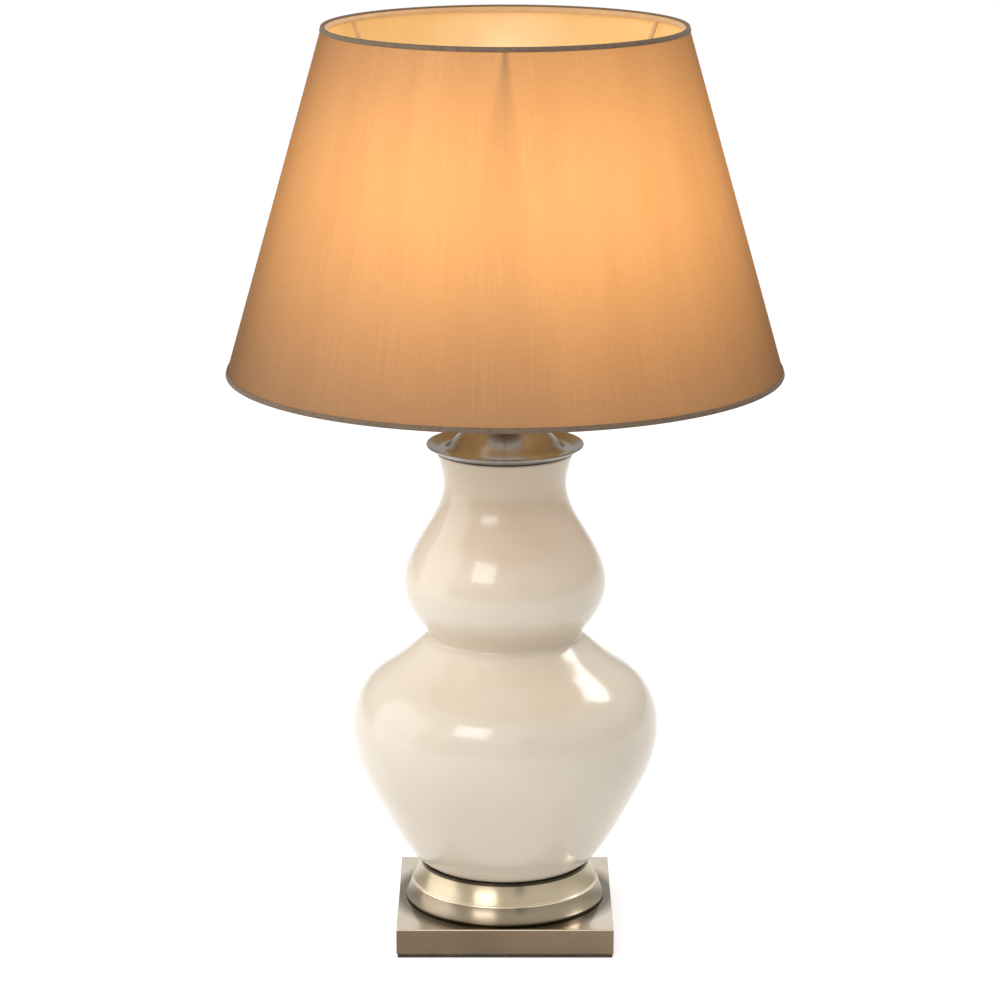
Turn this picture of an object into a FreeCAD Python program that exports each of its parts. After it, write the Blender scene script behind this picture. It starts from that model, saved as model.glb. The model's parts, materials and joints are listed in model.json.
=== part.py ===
"""Double gourd table lamp: each physical piece is a separate solid, in millimetres.

Frame: +Z up, origin at the centre of the base, on the surface the lamp stands on.
+Y points to the back, where the flex enters, and -Y faces the viewer.
"""
import FreeCAD, Part
import math
import os

Vector = FreeCAD.Vector
Z_UP = Vector(0, 0, 1)
ORIGIN = Vector(0, 0, 0)

os.makedirs("parts", exist_ok=True)

# ---------------------------------------------------------------- driving dimensions

# clearances
thread_clearance = 0.05         # screwed pieces in the same body, on radius
running_clearance = 0.06        # switch bar in its bush, on radius
turning_gap = 0.3               # faces and curves of pieces that move past each other
loose_fit = 0.4                 # plain holes around the tube, on radius

# plinth and what it hides
pad_thickness = 3.0
pad_inset = 0.8                 # the pad's edge behind the plinth's wall
plinth_side = 160.0
plinth_height = 19.0
plinth_wall = 4.0
plinth_edge_radius = 0.8
base_plate_thickness = 2.0
base_plate_gap = 0.3
boss_radius = 5.5
boss_inset = 7.5                # boss centre from the plinth's inner wall
base_screw_radius = 1.9
base_screw_head_radius = 3.6
base_screw_head_height = 1.6
base_screw_length = 9.0
ballast_side = 116.0
ballast_hole_radius = 20.0
lead_channel_width = 9.0        # way for the flex from the inlet to the tube

# flex inlet in the back wall
inlet_bore_radius = 3.4
inlet_height = 11.5             # bore's axis above the table
grommet_sleeve = 1.2            # rubber around the bore, inside the wall's hole
grommet_flange = 1.1            # flange beyond the sleeve, on radius
grommet_flange_thickness = 1.5

# pedestal ring
ring_flange_radius = 74.7
ring_flange_height = 2.4
ring_band_radius = 73.2         # foot of the lower band
ring_crease_radius = 69.9       # top of the lower band
ring_crease_step = 1.3          # narrow shoulder where the upper band starts
ring_crease_round = 0.6
ring_lower_band_height = 14.0
ring_lip_radius = 62.6          # outer edge at the top
ring_height = 29.0
ring_lip_width = 1.8
ring_lip_round = 0.6
ring_wall = 5.0
ring_ledge_depth = 7.0          # ledge below the lip
ring_ledge_thickness = 4.0
ring_ledge_hole_radius = 16.0

# gourd: radii of the glazed surface, with heights above its foot
foot_radius = 54.0
foot_height = 5.2
foot_hole_radius = 8.0
gourd_wall = 6.0
floor_thickness = 8.0
foot_seat_thickness = 2.0
foot_seat_width = 8.0
heel_radius = 57.0
flank_low_radius = 70.5
flank_low_height = 14.8
flank_radius = 91.0
flank_height = 48.0
belly_radius = 113.5
belly_height = 116.5
shoulder_radius = 102.3
shoulder_height = 143.0
brow_radius = 80.5
brow_height = 160.0
waist_radius = 55.8
waist_height = 180.3
upper_flank_radius = 68.1
upper_flank_height = 199.5
upper_belly_radius = 74.4
upper_belly_height = 217.2
upper_shoulder_radius = 64.1
upper_shoulder_height = 251.0
neck_radius = 45.0
neck_height = 294.0
mouth_radius = 50.2
mouth_height = 318.5
crease_slope_below = -1.5       # run over rise of the outline just under the waist
crease_slope_above = 0.45       # and just over it
mouth_slope = 0.36              # and at the mouth
inner_heel_slope = 0.7          # the inside's run over rise where it leaves the floor
inner_crease_drop = 1.2         # how far the inside's ridge lies below the crease

# vase cap, spun from sheet
cap_sheet = 1.4
cap_rim_radius = 57.6
cap_rim_rise = 4.0
cap_trough_inner_radius = 45.5
cap_trough_outer_radius = 51.5
cap_cone_radius = 38.0
cap_cone_rise = 6.0
cap_neck_radius = 13.0
cap_neck_slope = -0.3           # run over rise of the cone at its top
cap_height = 31.0
mouth_seat_thickness = 1.5
mouth_seat_width = 5.0

# tube, nut and collar that clamp the stack
tube_radius = 5.0
tube_bore_radius = 3.6
thin_nut_height = 4.5
nut_across_flats = 14.0
washer_radius = 11.0
washer_thickness = 1.2
tube_below_nut = 0.8
star_washer_radius = 7.6
star_washer_thickness = 0.9
star_washer_teeth = 12
star_washer_notch_depth = 1.0
collar_radius = 11.4
collar_wall = 1.6
collar_height = 10.0

# lampholder for a 27 mm screw cap
holder_radius = 19.4
holder_wall = 1.3
holder_cap_height = 20.0
holder_foot_radius = 10.2
holder_dome_rise = 9.2
holder_boss_radius = 8.0
holder_boss_height = 9.0
skirt_height = 30.0
skirt_thread_pitch = 2.5
skirt_thread_depth = 0.45
skirt_plain_end = 1.0           # below the first ridge and above the last
insert_gap = 0.2                # between the insert and the skirt
insert_disc_height = 6.0
insert_sleeve_height = 20.0
screw_shell_bore_radius = 13.45
screw_shell_wall = 0.45
screw_shell_height = 19.0
centre_contact_width = 6.0
centre_contact_thickness = 0.6
centre_contact_clear = 2.0      # from the tongue's end to the screw shell
terminal_offset = 10.5
terminal_screw_radius = 1.5
terminal_head_radius = 2.6
terminal_head_height = 1.6
terminal_screw_length = 5.0
grub_screw_radius = 1.5
grub_screw_height = 4.0         # axis above the holder's foot
grub_screw_reach = 1.5          # beyond the boss

# push-through switch bar
switch_bar_radius = 2.1
switch_travel = 5.0
switch_button_radius = 3.4
switch_button_length = 3.2
switch_bush_radius = 4.6
switch_bush_reach = 1.2         # bush beyond the cup's wall
switch_bush_depth = 2.0         # and inside it
switch_height_in_cap = 14.6

# shade carrier on the lampholder's skirt
carrier_flange_radius = 28.0
carrier_hub_radius = 23.4
carrier_flange_height = 1.8
carrier_hub_height = 5.0
carrier_seat_height = 9.0       # lower carrier's upper face above the skirt's foot
grip_notches = 12
grip_notch_radius = 1.6

# shade
shade_height = 252.5
shade_top_radius = 131.0
shade_bottom_radius = 203.0
shade_bottom_height = 424.5
cover_thickness = 0.6
liner_thickness = 0.9
wire_radius = 2.0
trim_thickness = 0.7
trim_width = 3.8
trim_gap = 0.05
seam_width = 9.0
seam_thickness = 0.5
arm_count = 3
arm_radius = 1.8
centre_ring_thickness = 1.8
centre_ring_radius = 33.5
arm_foot_radius = 31.4

# bulb with a 27 mm screw cap
bulb_glass_radius = 30.0
bulb_length = 106.0
bulb_neck_radius = 12.3
bulb_neck_join_angle = -24.0     # where the neck's flare meets the sphere, degrees from level
bulb_cap_radius = 13.1
bulb_cap_length = 20.0
bulb_cap_groove = 0.8
bulb_cap_pitch = 3.6
bulb_cap_shell = 0.5
bulb_cap_collar = 4.0           # plain stretch around the glass
bulb_tip_radius = 4.6
bulb_tip_foot_radius = 3.2
bulb_base_foot_radius = 5.4
bulb_tip_height = 1.5
bulb_base_height = 3.6
bulb_glass_wall = 0.8
bulb_stem_radius = 4.0
bulb_stem_tip_radius = 2.0
bulb_stem_height = 50.0
bulb_stem_straight = 30.0       # below the stem's taper
filament_post_height = 2.4
filament_radius = 1.1
filament_spoke_radius = 0.8
filament_post_radius = 1.0
filament_ring_radius = 9.0

# ---------------------------------------------------------------- levels

plinth_bottom = pad_thickness
plinth_top = plinth_bottom + plinth_height
plinth_ceiling = plinth_top - plinth_wall
base_plate_top = plinth_bottom + base_plate_thickness
ring_top = plinth_top + ring_height
ledge_top = ring_top - ring_ledge_depth
gourd_foot = ledge_top + foot_seat_thickness
gourd_mouth = gourd_foot + mouth_height
cap_bottom = gourd_mouth + mouth_seat_thickness
cap_top = cap_bottom + cap_height
collar_top = cap_top + collar_height
holder_foot = collar_top
skirt_foot = holder_foot + holder_cap_height
skirt_top = skirt_foot + skirt_height
carrier_top = skirt_foot + carrier_seat_height
centre_ring_bottom = carrier_top + turning_gap
centre_ring_top = centre_ring_bottom + centre_ring_thickness
ring_nut_bottom = centre_ring_top + turning_gap
shade_top_height = shade_bottom_height + shade_height
thread_core_radius = tube_radius - thread_clearance
skirt_bore_radius = holder_radius - holder_wall
tube_bottom = plinth_ceiling - washer_thickness - thin_nut_height - tube_below_nut
tube_top = holder_foot + holder_boss_height
insert_top = skirt_foot + insert_disc_height
bulb_foot = insert_top + centre_contact_thickness + turning_gap


# ---------------------------------------------------------------- helpers

def point(r, z):
    """A point of an outline drawn in the X-Z plane: distance from the axis, and height."""
    return Vector(r, 0, z)


def line(a, b):
    return Part.LineSegment(point(*a), point(*b)).toShape()


def arc(a, middle, b):
    return Part.Arc(point(*a), point(*middle), point(*b)).toShape()


def polyline(points):
    """Straight edges through the points, open."""
    return [line(a, b) for a, b in zip(points, points[1:])]


def revolve(edges, angle=360.0):
    """A solid turned about the Z axis from the edges of one closed outline."""
    face = Part.Face(Part.Wire(Part.__sortEdges__(edges)))
    solid = face.revolve(ORIGIN, Z_UP, angle)
    if solid.Volume < 0:
        solid.reverse()
    return solid


def turned(points):
    """A solid turned from a closed outline of straight lines."""
    return revolve(polyline(points + points[:1]))


def cylinder(radius, bottom, height):
    return Part.makeCylinder(radius, height, Vector(0, 0, bottom), Z_UP)


def tube(outer, inner, bottom, height):
    cut_past = 1.0
    return cylinder(outer, bottom, height).cut(cylinder(inner, bottom - cut_past, height + 2 * cut_past))


def block(side_x, side_y, bottom, height):
    """A box centred on the Z axis."""
    return Part.makeBox(side_x, side_y, height, Vector(-side_x / 2, -side_y / 2, bottom))


def hexagon(across_flats, bottom, height):
    corner = across_flats / math.sqrt(3)
    first = Vector(corner, 0, bottom)
    corners = [FreeCAD.Rotation(Z_UP, 60 * k).multVec(first) for k in range(7)]
    return Part.Face(Part.makePolygon(corners)).extrude(Vector(0, 0, height))


def around_axis(shape, angle):
    copy = shape.copy()
    copy.rotate(ORIGIN, Z_UP, angle)
    return copy


def moved(shape, x, y, z=0.0):
    copy = shape.copy()
    copy.translate(Vector(x, y, z))
    return copy


def rod(start, end, radius):
    direction = end - start
    return Part.makeCylinder(radius, direction.Length, start, direction)


def export(shape, name):
    shape.exportStep("parts/%s.step" % name)
    print("%-22s %2d solid(s) %10.0f mm3" % (name, len(shape.Solids), shape.Volume))


# ---------------------------------------------------------------- plinth

def corner_places(reach):
    return [(x, y) for x in (-reach, reach) for y in (-reach, reach)]


def base_pad():
    side = plinth_side - 2 * pad_inset
    return block(side, side, 0, pad_thickness)


def boss_reach():
    return plinth_side / 2 - plinth_wall - boss_inset


def plinth():
    """A square box open below, with four screw bosses, the tube's hole and the inlet's hole."""
    body = block(plinth_side, plinth_side, plinth_bottom, plinth_height)
    upright = [e for e in body.Edges if abs(e.BoundBox.ZLength - plinth_height) < 1e-6]
    rim = [e for e in body.Edges if e.BoundBox.ZMin > plinth_top - 1e-6]
    body = body.makeFillet(plinth_edge_radius, upright + rim)
    inner_side = plinth_side - 2 * plinth_wall
    hollow = block(inner_side, inner_side, plinth_bottom, plinth_height - plinth_wall)
    for x, y in corner_places(boss_reach()):
        boss = cylinder(boss_radius, base_plate_top, plinth_ceiling - base_plate_top)
        hollow = hollow.cut(moved(boss, x, y))
    body = body.cut(hollow)
    for x, y in corner_places(boss_reach()):
        pilot = cylinder(base_screw_radius + thread_clearance, base_plate_top, base_screw_length)
        body = body.cut(moved(pilot, x, y))
    body = body.cut(cylinder(tube_radius + loose_fit, plinth_ceiling, plinth_wall))
    return body.cut(inlet_cylinder(inlet_bore_radius + grommet_sleeve, plinth_wall, 0))


def inlet_cylinder(radius, length, start):
    """A cylinder on the inlet's axis; start is measured out from the wall's inner face."""
    inner_face = plinth_side / 2 - plinth_wall
    return Part.makeCylinder(radius, length, Vector(0, inner_face + start, inlet_height), Vector(0, 1, 0))


def cord_grommet():
    sleeve = inlet_bore_radius + grommet_sleeve - thread_clearance
    flange = inlet_bore_radius + grommet_sleeve + grommet_flange
    body = inlet_cylinder(sleeve, plinth_wall, 0)
    body = body.fuse(inlet_cylinder(flange, grommet_flange_thickness, -grommet_flange_thickness))
    body = body.fuse(inlet_cylinder(flange, grommet_flange_thickness, plinth_wall))
    length = plinth_wall + 2 * grommet_flange_thickness
    return body.cut(inlet_cylinder(inlet_bore_radius, length, -grommet_flange_thickness)).removeSplitter()


def base_plate():
    side = plinth_side - 2 * plinth_wall - 2 * base_plate_gap
    plate = block(side, side, plinth_bottom, base_plate_thickness)
    hole = cylinder(base_screw_radius + loose_fit, plinth_bottom, base_plate_thickness)
    hole = hole.fuse(cylinder(base_screw_head_radius + loose_fit, plinth_bottom, base_screw_head_height))
    for x, y in corner_places(boss_reach()):
        plate = plate.cut(moved(hole, x, y))
    return plate


def base_screws():
    head = cylinder(base_screw_head_radius, plinth_bottom, base_screw_head_height)
    shank = cylinder(base_screw_radius, plinth_bottom, base_screw_length)
    screw = head.fuse(shank)
    return Part.makeCompound([moved(screw, x, y) for x, y in corner_places(boss_reach())])


def ballast_weight():
    """An iron slab held between the base plate and the plinth's ceiling, with a way for the flex."""
    thickness = plinth_ceiling - base_plate_top
    plate = block(ballast_side, ballast_side, base_plate_top, thickness)
    plate = plate.cut(cylinder(ballast_hole_radius, base_plate_top, thickness))
    channel = Part.makeBox(lead_channel_width, ballast_side, thickness,
                           Vector(-lead_channel_width / 2, 0, base_plate_top))
    return plate.cut(channel)


# ---------------------------------------------------------------- pedestal ring

def pedestal_ring():
    """A turned ring: a foot flange, two bands with a narrow shoulder between them, and a ledge inside."""
    lip_inner = ring_lip_radius - ring_lip_width
    flange_top = plinth_top + ring_flange_height
    crease_height = plinth_top + ring_lower_band_height
    flange_round = ring_flange_radius - ring_band_radius
    round_middle = flange_round * (1 - math.sqrt(0.5))
    lip = ring_lip_round
    lip_middle = lip * (1 - math.sqrt(0.5))
    ledge_bottom = ledge_top - ring_ledge_thickness
    wall_foot = ring_band_radius - ring_wall
    edges = polyline([(wall_foot, plinth_top), (ring_flange_radius, plinth_top),
                      (ring_flange_radius, flange_top - flange_round)])
    edges.append(arc((ring_flange_radius, flange_top - flange_round),
                     (ring_flange_radius - round_middle, flange_top - round_middle),
                     (ring_band_radius, flange_top)))
    shoulder = ring_crease_round
    shoulder_middle = shoulder * (1 - math.sqrt(0.5))
    edges.append(line((ring_band_radius, flange_top), (ring_crease_radius, crease_height - shoulder)))
    edges.append(arc((ring_crease_radius, crease_height - shoulder),
                     (ring_crease_radius - shoulder_middle, crease_height - shoulder_middle),
                     (ring_crease_radius - shoulder, crease_height)))
    edges += polyline([(ring_crease_radius - shoulder, crease_height),
                       (ring_crease_radius - ring_crease_step, crease_height),
                       (ring_lip_radius, ring_top - lip)])
    edges.append(arc((ring_lip_radius, ring_top - lip),
                     (ring_lip_radius - lip_middle, ring_top - lip_middle),
                     (ring_lip_radius - lip, ring_top)))
    edges += polyline([(ring_lip_radius - lip, ring_top), (lip_inner, ring_top), (lip_inner, ledge_top),
                       (ring_ledge_hole_radius, ledge_top), (ring_ledge_hole_radius, ledge_bottom),
                       (lip_inner - ring_wall / 2, ledge_bottom), (wall_foot, crease_height - ring_wall),
                       (wall_foot, plinth_top)])
    return revolve(edges)


def foot_seat():
    return tube(foot_radius, foot_radius - foot_seat_width, ledge_top, foot_seat_thickness)


# ---------------------------------------------------------------- gourd

def lower_bulb_knots():
    heights = (foot_height, flank_low_height, flank_height, belly_height,
               shoulder_height, brow_height, waist_height)
    radii = (heel_radius, flank_low_radius, flank_radius, belly_radius,
             shoulder_radius, brow_radius, waist_radius)
    return [(r, gourd_foot + h) for r, h in zip(radii, heights)]


def upper_bulb_knots():
    heights = (waist_height, upper_flank_height, upper_belly_height,
               upper_shoulder_height, neck_height, mouth_height)
    radii = (waist_radius, upper_flank_radius, upper_belly_radius,
             upper_shoulder_radius, neck_radius, mouth_radius)
    return [(r, gourd_foot + h) for r, h in zip(radii, heights)]


def smooth_curve(knots, start, end):
    """A spline through the knots, leaving along start and arriving along end."""
    curve = Part.BSplineCurve()
    curve.interpolate(Points=[point(*k) for k in knots],
                      InitialTangent=point(*start).normalize(), FinalTangent=point(*end).normalize())
    return curve


def inset_knots(curve, knots, wall):
    """The knots moved inwards by the wall, square to a curve that is drawn upwards."""
    moved_in = []
    for r, z in knots:
        along = curve.tangent(curve.parameter(point(r, z)))[0]
        moved_in.append((r - wall * along.z, z + wall * along.x))
    return moved_in


def gourd_body():
    """A slip-cast shell: two bulbs that meet in a crease, open at the mouth and holed in the floor."""
    below = (crease_slope_below, 1.0)
    above = (crease_slope_above, 1.0)
    at_mouth = (mouth_slope, 1.0)
    outward = (1.0, 0.0)
    lower_knots = lower_bulb_knots()
    upper_knots = upper_bulb_knots()
    lower = smooth_curve(lower_knots, outward, below)
    upper = smooth_curve(upper_knots, above, at_mouth)
    lower_inside = inset_knots(lower, lower_knots[1:], gourd_wall)
    upper_inside = inset_knots(upper, upper_knots, gourd_wall)
    upper_inside[-1] = (mouth_radius - gourd_wall, gourd_mouth)
    floor = gourd_foot + floor_thickness
    lower_inner = smooth_curve(lower_inside, (inner_heel_slope, 1.0), below)
    upper_inner = smooth_curve(upper_inside, above, at_mouth)
    waist = gourd_foot + waist_height
    crease_inside = (waist_radius - gourd_wall, waist - inner_crease_drop)
    foot_edge = (foot_radius, gourd_foot)
    foot_top = (foot_radius, gourd_foot + foot_height)
    edges = polyline([(foot_hole_radius, floor), (foot_hole_radius, gourd_foot), foot_edge, foot_top,
                      lower_knots[0]])
    edges += [lower.toShape(), upper.toShape()]
    edges.append(line(upper_knots[-1], upper_inside[-1]))
    edges.append(upper_inner.toShape())
    edges.append(arc(upper_inside[0], crease_inside, lower_inside[-1]))
    edges.append(lower_inner.toShape())
    floor_edge = (lower_inside[0][0] - gourd_wall, floor)
    edges += polyline([lower_inside[0], floor_edge, (foot_hole_radius, floor)])
    return revolve(edges)


def mouth_seat():
    middle = mouth_radius - gourd_wall / 2
    half = mouth_seat_width / 2
    return tube(middle + half, middle - half, gourd_mouth, mouth_seat_thickness)


# ---------------------------------------------------------------- vase cap and clamping pieces

def vase_cap():
    """A spun cap: an upturned rim, a flat trough on the mouth, and a flared cone up to the collar."""
    trough_top = cap_bottom + cap_sheet
    rim_angle = math.atan2(cap_rim_rise, cap_rim_radius - cap_trough_outer_radius)
    rim_under = (cap_rim_radius, cap_bottom + cap_rim_rise)
    rim_over = (rim_under[0] - cap_sheet * math.sin(rim_angle),
                rim_under[1] + cap_sheet * math.cos(rim_angle))
    bend_over = (cap_trough_outer_radius - cap_sheet * math.tan(rim_angle / 2), trough_top)
    level = (-1.0, 0.0)
    steep = (cap_neck_slope, 1.0)
    over_knots = [(cap_trough_inner_radius, trough_top), (cap_cone_radius, trough_top + cap_cone_rise),
                  (cap_neck_radius, cap_top)]
    over = smooth_curve(over_knots, level, steep)
    under_knots = inset_knots(over, over_knots, cap_sheet)
    under_knots[-1] = (cap_neck_radius - cap_sheet, cap_top - cap_sheet)
    under = smooth_curve(under_knots, level, steep)
    hole = tube_radius + loose_fit
    edges = polyline([under_knots[0], (cap_trough_outer_radius, cap_bottom), rim_under, rim_over,
                      bend_over, over_knots[0]])
    edges.append(over.toShape())
    edges += polyline([over_knots[-1], (hole, cap_top), (hole, cap_top - cap_sheet), under_knots[-1]])
    edges.append(under.toShape())
    return revolve(edges)


def threaded_tube():
    return tube(thread_core_radius, tube_bore_radius, tube_bottom, tube_top - tube_bottom)


def thin_nut(bottom):
    nut = hexagon(nut_across_flats, bottom, thin_nut_height)
    return nut.cut(cylinder(tube_radius, bottom, thin_nut_height))


def base_washer():
    return tube(washer_radius, tube_radius + loose_fit, plinth_ceiling - washer_thickness, washer_thickness)


def base_nut():
    return thin_nut(plinth_ceiling - washer_thickness - thin_nut_height)


def star_washer():
    """A toothed lock washer under the top nut."""
    washer = tube(star_washer_radius, tube_radius + loose_fit, cap_top, star_washer_thickness)
    notch_width = star_washer_radius * math.pi / star_washer_teeth
    notch_foot = star_washer_radius - star_washer_notch_depth
    notch = Part.makeBox(star_washer_notch_depth, notch_width, star_washer_thickness,
                         Vector(notch_foot, -notch_width / 2, cap_top))
    for k in range(star_washer_teeth):
        washer = washer.cut(around_axis(notch, k * 360 / star_washer_teeth))
    return washer


def top_nut():
    return thin_nut(cap_top + star_washer_thickness)


def neck_collar():
    """A turned cup that hides the top nut and carries the lampholder."""
    hole = tube_radius + loose_fit
    inner = collar_radius - collar_wall
    waist = collar_radius - collar_wall / 2
    middle = cap_top + collar_height / 2
    ceiling = collar_top - collar_wall
    edges = [line((inner, cap_top), (collar_radius, cap_top)),
             arc((collar_radius, cap_top), (waist, middle), (collar_radius, collar_top))]
    edges += polyline([(collar_radius, collar_top), (hole, collar_top), (hole, ceiling),
                       (inner - collar_wall, ceiling), (inner - collar_wall, middle), (inner, cap_top)])
    return revolve(edges)


# ---------------------------------------------------------------- lampholder

def switch_axis_height():
    return holder_foot + switch_height_in_cap


def lampholder_cap():
    """The holder's domed lower cup, with the boss that screws on the tube and bushes for the switch bar."""
    lean = 1 - math.sqrt(0.5)
    foot_outer = (holder_foot_radius, holder_foot)
    side_outer = (holder_radius, holder_foot + holder_dome_rise)
    dome_middle = (holder_radius - lean * (holder_radius - holder_foot_radius),
                   holder_foot + lean * holder_dome_rise)
    inner = holder_radius - holder_wall
    floor = holder_foot + holder_wall
    foot_inner = (holder_foot_radius - holder_wall / 2, floor)
    side_inner = (inner, side_outer[1])
    inner_middle = (inner - lean * (inner - foot_inner[0]), floor + lean * (side_inner[1] - floor))
    boss_top = holder_foot + holder_boss_height
    edges = [line((tube_radius, holder_foot), foot_outer), arc(foot_outer, dome_middle, side_outer)]
    edges += polyline([side_outer, (holder_radius, skirt_foot), (inner, skirt_foot), side_inner])
    edges.append(arc(side_inner, inner_middle, foot_inner))
    edges += polyline([foot_inner, (holder_boss_radius, floor), (holder_boss_radius, boss_top),
                       (tube_radius, boss_top), (tube_radius, holder_foot)])
    cap = revolve(edges)
    for side in (-1, 1):
        inner_end = side * (inner - switch_bush_depth)
        outer_end = side * (holder_radius + switch_bush_reach)
        bush = rod(Vector(inner_end, 0, switch_axis_height()), Vector(outer_end, 0, switch_axis_height()),
                   switch_bush_radius)
        cap = cap.fuse(bush)
    reach = holder_radius + switch_bush_radius
    bore = rod(Vector(-reach, 0, switch_axis_height()), Vector(reach, 0, switch_axis_height()),
               switch_bar_radius + running_clearance)
    grub_height = holder_foot + grub_screw_height
    grub = rod(Vector(0, 0, grub_height), Vector(0, -reach, grub_height),
               grub_screw_radius + thread_clearance)
    return cap.cut(bore).cut(grub)


def grub_screw():
    """Locks the holder's boss on the tube."""
    height = holder_foot + grub_screw_height
    end = holder_boss_radius + grub_screw_reach
    return rod(Vector(0, -tube_radius, height), Vector(0, -end, height), grub_screw_radius)


def switch_bar():
    """The bar with a button at each end, pushed fully towards +X."""
    height = switch_axis_height()
    left_foot = -(holder_radius + switch_bush_reach + turning_gap)
    right_foot = -left_foot + switch_travel
    left_end = left_foot - switch_button_length
    right_end = right_foot + switch_button_length
    bar = rod(Vector(left_end, 0, height), Vector(right_end, 0, height), switch_bar_radius)
    bar = bar.fuse(rod(Vector(left_end, 0, height), Vector(left_foot, 0, height), switch_button_radius))
    return bar.fuse(rod(Vector(right_foot, 0, height), Vector(right_end, 0, height), switch_button_radius))


def lampholder_skirt():
    """The threaded sleeve that the shade carriers screw on."""
    ridges = int((skirt_height - 2 * skirt_plain_end) / skirt_thread_pitch)
    root = holder_radius - skirt_thread_depth
    outline = [(skirt_bore_radius, skirt_foot), (root, skirt_foot)]
    for k in range(ridges):
        start = skirt_foot + skirt_plain_end + k * skirt_thread_pitch
        outline += [(root, start), (holder_radius, start + skirt_thread_pitch / 2)]
    last = skirt_foot + skirt_plain_end + ridges * skirt_thread_pitch
    outline += [(root, last), (root, skirt_top), (skirt_bore_radius, skirt_top)]
    return turned(outline)


def lampholder_insert():
    """The white body that holds the screw shell, with passages for the terminals."""
    outer = skirt_bore_radius - insert_gap
    shell_outer = screw_shell_bore_radius + screw_shell_wall
    body = cylinder(outer, skirt_foot, insert_disc_height)
    sleeve = tube(outer, shell_outer + thread_clearance, insert_top, insert_sleeve_height)
    body = body.fuse(sleeve)
    for side in (-1, 1):
        passage = cylinder(terminal_screw_radius + thread_clearance, skirt_foot, insert_disc_height)
        body = body.cut(moved(passage, 0, side * terminal_offset))
    return body.removeSplitter()


def screw_shell():
    """Thin brass sleeve with rolled thread rings on the inside of the insert."""
    return tube(screw_shell_bore_radius + screw_shell_wall, screw_shell_bore_radius,
                insert_top, screw_shell_height)


def centre_contact():
    half = centre_contact_width / 2
    length = screw_shell_bore_radius - centre_contact_clear + half
    return Part.makeBox(length, centre_contact_width, centre_contact_thickness,
                        Vector(-half, -half, insert_top))


def terminal_screws():
    """Two screws in the insert's underside that clamp the flex's cores."""
    head_bottom = skirt_foot - terminal_head_height
    screw = cylinder(terminal_head_radius, head_bottom, terminal_head_height)
    screw = screw.fuse(cylinder(terminal_screw_radius, skirt_foot, terminal_screw_length))
    return Part.makeCompound([moved(screw, 0, side * terminal_offset) for side in (-1, 1)])


# ---------------------------------------------------------------- shade carriers

def notched(shape, radius, bottom, height):
    """Finger notches around a carrier's edge."""
    for k in range(grip_notches):
        notch = moved(cylinder(grip_notch_radius, bottom, height), radius + grip_notch_radius / 2, 0)
        shape = shape.cut(around_axis(notch, k * 360 / grip_notches))
    return shape


def carrier(bottom, flange_bottom):
    """A flanged ring that screws on the skirt: a hub, and a flange that clamps the shade's ring."""
    bore = holder_radius + turning_gap
    hub = tube(carrier_hub_radius, bore, bottom, carrier_hub_height)
    flange = tube(carrier_flange_radius, bore, flange_bottom, carrier_flange_height)
    flange = notched(flange, carrier_flange_radius, flange_bottom, carrier_flange_height)
    return hub.fuse(flange).removeSplitter()


def lower_carrier():
    bottom = carrier_top - carrier_hub_height
    return carrier(bottom, carrier_top - carrier_flange_height)


def ring_nut():
    return carrier(ring_nut_bottom, ring_nut_bottom)


# ---------------------------------------------------------------- shade

def shade_lean():
    return math.atan2(shade_bottom_radius - shade_top_radius, shade_height)


def wall_point(down, inwards):
    """A point of the shade's section: down along the cover from the top edge, and in from its face."""
    lean = shade_lean()
    r = shade_top_radius + down * math.sin(lean) - inwards * math.cos(lean)
    z = shade_top_height - down * math.cos(lean) - inwards * math.sin(lean)
    return (r, z)


def slant_length():
    return math.hypot(shade_bottom_radius - shade_top_radius, shade_height)


def wall_shell(outer_depth, thickness, start, end):
    """A conical skin whose faces lie at two depths behind the cover's face."""
    return turned([wall_point(start, outer_depth), wall_point(end, outer_depth),
                   wall_point(end, outer_depth + thickness), wall_point(start, outer_depth + thickness)])


def shade_cover():
    return wall_shell(0, cover_thickness, trim_thickness, slant_length() - trim_thickness)


def shade_liner():
    return wall_shell(cover_thickness, liner_thickness, trim_thickness, slant_length() - trim_thickness)


def wall_thickness():
    return cover_thickness + liner_thickness


def wire_depth():
    """The wire's centre behind the cover's face."""
    return wall_thickness() + trim_gap + wire_radius


def wire_down():
    """The wire's centre below the shade's top edge, and above its bottom edge."""
    return trim_thickness + trim_gap + wire_radius


def wire_ring(down):
    centre = wall_point(down, wire_depth())
    return Part.makeTorus(centre[0], wire_radius, Vector(0, 0, centre[1]), Z_UP)


def trim_section(places):
    return turned([wall_point(down, inwards) for down, inwards in places])


def trim(edge, sign):
    """A tape folded over the edge: outside on the cover, over the wire, and down behind it."""
    back = wire_depth() + wire_radius + trim_gap
    outer_leaf = edge + sign * trim_width
    web = edge + sign * trim_thickness
    inner_leaf = edge + sign * (wire_down() + wire_radius)
    return trim_section([(edge, -trim_thickness), (outer_leaf, -trim_thickness), (outer_leaf, 0), (web, 0),
                         (web, back), (inner_leaf, back), (inner_leaf, back + trim_thickness),
                         (edge, back + trim_thickness)])


def shade_seam():
    """The cover's lapped joint at the back, a strip of one width from trim to trim."""
    gap = trim_gap
    start = trim_width + gap
    shell = wall_shell(-seam_thickness, seam_thickness, start, slant_length() - start)
    strip = Part.makeBox(seam_width, shade_bottom_radius * 2, shade_height,
                         Vector(-seam_width / 2, 0, shade_bottom_height))
    return shell.common(strip)


def shade_centre_ring():
    """The frame's middle ring, which drops over the lampholder's skirt."""
    inner_radius = holder_radius + 2 * turning_gap
    return tube(centre_ring_radius, inner_radius, centre_ring_bottom, centre_ring_thickness)


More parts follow.
